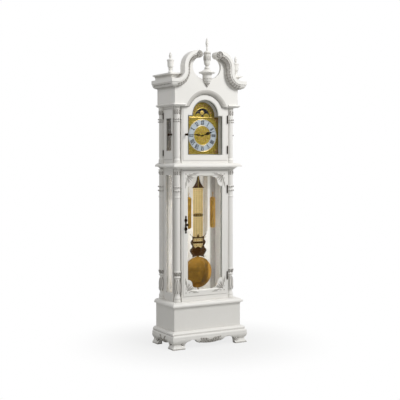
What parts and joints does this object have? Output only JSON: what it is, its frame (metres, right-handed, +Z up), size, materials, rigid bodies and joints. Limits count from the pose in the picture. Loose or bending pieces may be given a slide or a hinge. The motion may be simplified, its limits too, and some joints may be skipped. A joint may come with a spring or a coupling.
{
  "type": "longcase clock",
  "caption": "Tall painted longcase clock with swan-neck pediment, arched moon dial, glazed doors, turned columns, pendulum and hanging weights.",
  "frame": {"origin": "on the floor, under the middle of the clock's bounding box", "axes": "+X to the clock's right as seen from the front, +Y to the back, +Z up"},
  "size_m": [0.64, 0.3442, 2.3],
  "materials": {
    "painted_wood": "satin white paint with a grey-brown wash in the recesses",
    "painted_back_wood": "pale grey-white paint",
    "seat_wood": "bare planed softwood",
    "clear_glass": "clear float glass",
    "dark_bronze": "dark bronze patina",
    "movement_brass": "satin brass",
    "polished_brass": "polished brass",
    "antique_brass": "polished brass gone dark",
    "gilt_dial": "gilt",
    "silvered_ring": "silvered, pale blue cast",
    "moon_enamel": "dark blue enamel",
    "black_steel": "black lacquer",
    "plain_steel": "plain steel",
    "chime_bronze": "drawn bronze"
  },
  "bodies": {
    "case": {"base_skirt_front": "painted_wood", "base_skirt_sides": "painted_wood", "base_board": "painted_wood", "plinth_boards": "painted_wood", "plinth_cap": "painted_wood", "trunk_sides": "painted_wood", "trunk_front_frame": "painted_wood", "trunk_columns": "painted_wood", "surbase": "painted_wood", "hood_sides": "painted_wood", "hood_columns": "painted_wood", "hood_front_frame": "painted_wood", "hood_entablature": "painted_wood", "frieze_mouldings": "painted_wood", "pediment_board": "painted_wood", "swan_neck_left": "painted_wood", "swan_neck_right": "painted_wood", "cornice_sides": "painted_wood", "parapets": "painted_wood", "rosettes": "painted_wood", "side_finials": "painted_wood", "finial_bracket": "painted_wood", "centre_finial": "painted_wood", "back_boards": "painted_back_wood", "movement_seat": "seat_wood", "trunk_side_glass": "clear_glass", "case_hinge_leaves": "dark_bronze", "line_guides": "movement_brass", "movement_frame": "movement_brass", "dial_plate": "gilt_dial", "chapter_ring": "silvered_ring", "weight_line_left": "plain_steel", "weight_line_right": "plain_steel", "line_leads": "plain_steel", "chime_rods": "chime_bronze"},
    "hood_door": {"hood_door_frame": "painted_wood", "hood_door_glass": "clear_glass", "hood_door_fittings": "dark_bronze"},
    "trunk_door": {"trunk_door_frame": "painted_wood", "trunk_door_glass": "clear_glass", "trunk_door_fittings": "dark_bronze"},
    "door_latch": {"trunk_door_latch": "dark_bronze"},
    "side_door_l": {"side_door_left": "painted_wood", "side_door_pane_left": "clear_glass", "side_door_fittings_left": "dark_bronze"},
    "side_door_r": {"side_door_right": "painted_wood", "side_door_pane_right": "clear_glass", "side_door_fittings_right": "dark_bronze"},
    "pendulum": {"pendulum_rod": "polished_brass", "pendulum_mounts": "dark_bronze", "pendulum_bob": "antique_brass"},
    "crutch_arm": {"crutch": "plain_steel"},
    "escape": {"escape_wheel": "movement_brass"},
    "weight_l": {"weight_left": "polished_brass"},
    "weight_r": {"weight_right": "polished_brass"},
    "drum_l": {"drum_left": "movement_brass"},
    "drum_r": {"drum_right": "movement_brass"},
    "minute": {"minute_hand": "black_steel"},
    "hour": {"hour_hand": "black_steel"},
    "moon": {"moon_disc": "moon_enamel"}
  },
  "joints": [
    {"name": "hood_door_swing", "type": "hinge", "parent": "case", "child": "hood_door", "pos_m": [0.1905, -0.0922, 1.584], "axis": [0, 0, 1], "range_deg": [0, 100]},
    {"name": "trunk_door_swing", "type": "hinge", "parent": "case", "child": "trunk_door", "pos_m": [0.1905, -0.0922, 0.843], "axis": [0, 0, 1], "range_deg": [0, 100]},
    {"name": "latch_turn", "type": "hinge", "parent": "trunk_door", "child": "door_latch", "pos_m": [-0.168, -0.088, 0.914], "axis": [0, 1, 0], "range_deg": [0, 90]},
    {"name": "side_door_left_swing", "type": "hinge", "parent": "case", "child": "side_door_l", "pos_m": [-0.2539, 0.109, 1.585], "axis": [0, 0, -1], "range_deg": [0, 90]},
    {"name": "side_door_right_swing", "type": "hinge", "parent": "case", "child": "side_door_r", "pos_m": [0.2539, 0.109, 1.585], "axis": [0, 0, 1], "range_deg": [0, 90]},
    {"name": "pendulum_swing", "type": "hinge", "parent": "case", "child": "pendulum", "pos_m": [0, 0.027, 1.64], "axis": [0, 1, 0], "range_deg": [-3, 3]},
    {"name": "crutch_swing", "type": "hinge", "parent": "case", "child": "crutch_arm", "pos_m": [0, 0.015, 1.64], "axis": [0, 1, 0], "range_deg": [-3.1, 3.1]},
    {"name": "weight_left_drop", "type": "slide", "parent": "case", "child": "weight_l", "axis": [0, 0, 1], "range_m": [-0.5, 0.24], "deforming": ["weight_line_left"]},
    {"name": "weight_right_drop", "type": "slide", "parent": "case", "child": "weight_r", "axis": [0, 0, 1], "range_m": [-0.5, 0.24], "deforming": ["weight_line_right"]},
    {"name": "drum_left_turn", "type": "hinge", "parent": "case", "child": "drum_l", "pos_m": [-0.046, 0, 1.555], "axis": [0, 1, 0], "range_deg": [-1260, 620]},
    {"name": "drum_right_turn", "type": "hinge", "parent": "case", "child": "drum_r", "pos_m": [0.046, 0, 1.555], "axis": [0, 1, 0], "range_deg": [-620, 1260]},
    {"name": "minute_hand_turn", "type": "hinge", "parent": "case", "child": "minute", "pos_m": [0, -0.0475, 1.578], "axis": [0, 1, 0], "continuous": true},
    {"name": "hour_hand_turn", "type": "hinge", "parent": "case", "child": "hour", "pos_m": [0, -0.0445, 1.578], "axis": [0, 1, 0], "continuous": true},
    {"name": "moon_disc_turn", "type": "hinge", "parent": "case", "child": "moon", "pos_m": [0, -0.0366, 1.712], "axis": [0, 1, 0], "continuous": true},
    {"name": "escape_wheel_turn", "type": "hinge", "parent": "case", "child": "escape", "pos_m": [0, -0.008, 1.604], "axis": [0, 1, 0], "continuous": true}
  ],
  "couplings": [
    {"joint": "crutch_swing", "follows": "pendulum_swing", "ratio": 1},
    {"joint": "drum_left_turn", "follows": "weight_left_drop", "rad_per_m": 43.103},
    {"joint": "drum_right_turn", "follows": "weight_right_drop", "rad_per_m": -43.103},
    {"joint": "hour_hand_turn", "follows": "minute_hand_turn", "ratio": 0.083333}
  ]
}
